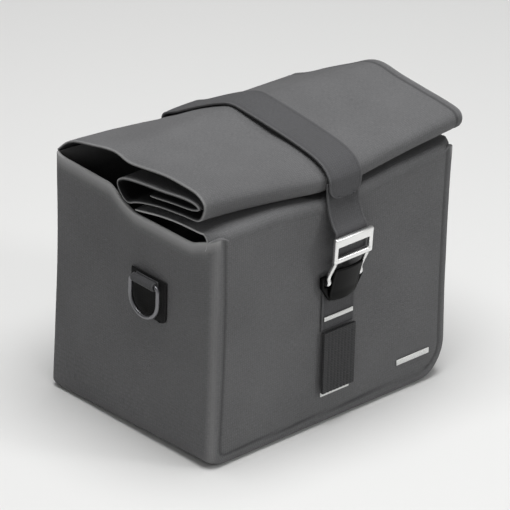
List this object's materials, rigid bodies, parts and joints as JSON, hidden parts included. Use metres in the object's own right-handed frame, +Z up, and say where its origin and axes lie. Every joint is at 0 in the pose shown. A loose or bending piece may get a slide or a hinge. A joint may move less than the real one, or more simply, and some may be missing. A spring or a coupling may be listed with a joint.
{
  "type": "bicycle handlebar bag",
  "caption": "Box-shaped roll-top handlebar bag in grey coated fabric, with a closure strap, a metal hook on a loop, and a D-ring on each side.",
  "frame": {"origin": "centre of the flat base, on the surface the bag stands on", "axes": "+Z up, the front panel faces -Y, the back panel +Y, +X to the right as the front is looked at"},
  "size_m": [0.2024, 0.1583, 0.1789],
  "materials": {
    "body_cloth": "matte coated weave",
    "strap_cloth": "matte",
    "webbing": "ribbed",
    "black_cloth": "matte",
    "pale_film": "reflective film",
    "bright_metal": "polished",
    "ring_metal": "satin",
    "black_plastic": "gloss"
  },
  "bodies": {
    "bag": {"body_shell": "body_cloth", "roll_top": "body_cloth", "front_fold": "body_cloth", "strap_outer": "strap_cloth", "strap_inner": "strap_cloth", "hook": "bright_metal", "hook_loop": "black_plastic", "front_tab": "strap_cloth", "front_webbing": "webbing", "stripe_upper": "pale_film", "stripe_lower": "pale_film", "pale_bar": "pale_film", "ring_patch_left": "black_cloth", "ring_patch_right": "black_cloth", "ring_loop_left": "strap_cloth", "ring_loop_right": "strap_cloth", "back_loop_left": "webbing", "back_loop_right": "webbing"},
    "ring_left": {"d_ring_left": "ring_metal"},
    "ring_right": {"d_ring_right": "ring_metal"}
  },
  "joints": [
    {"name": "ring_left_swing", "type": "hinge", "parent": "bag", "child": "ring_left", "pos_m": [-0.0984, -0.0145, 0.103], "axis": [0, 1, 0], "range_deg": [0, 170]},
    {"name": "ring_right_swing", "type": "hinge", "parent": "bag", "child": "ring_right", "pos_m": [0.0984, -0.0145, 0.103], "axis": [0, -1, 0], "range_deg": [0, 170]}
  ]
}
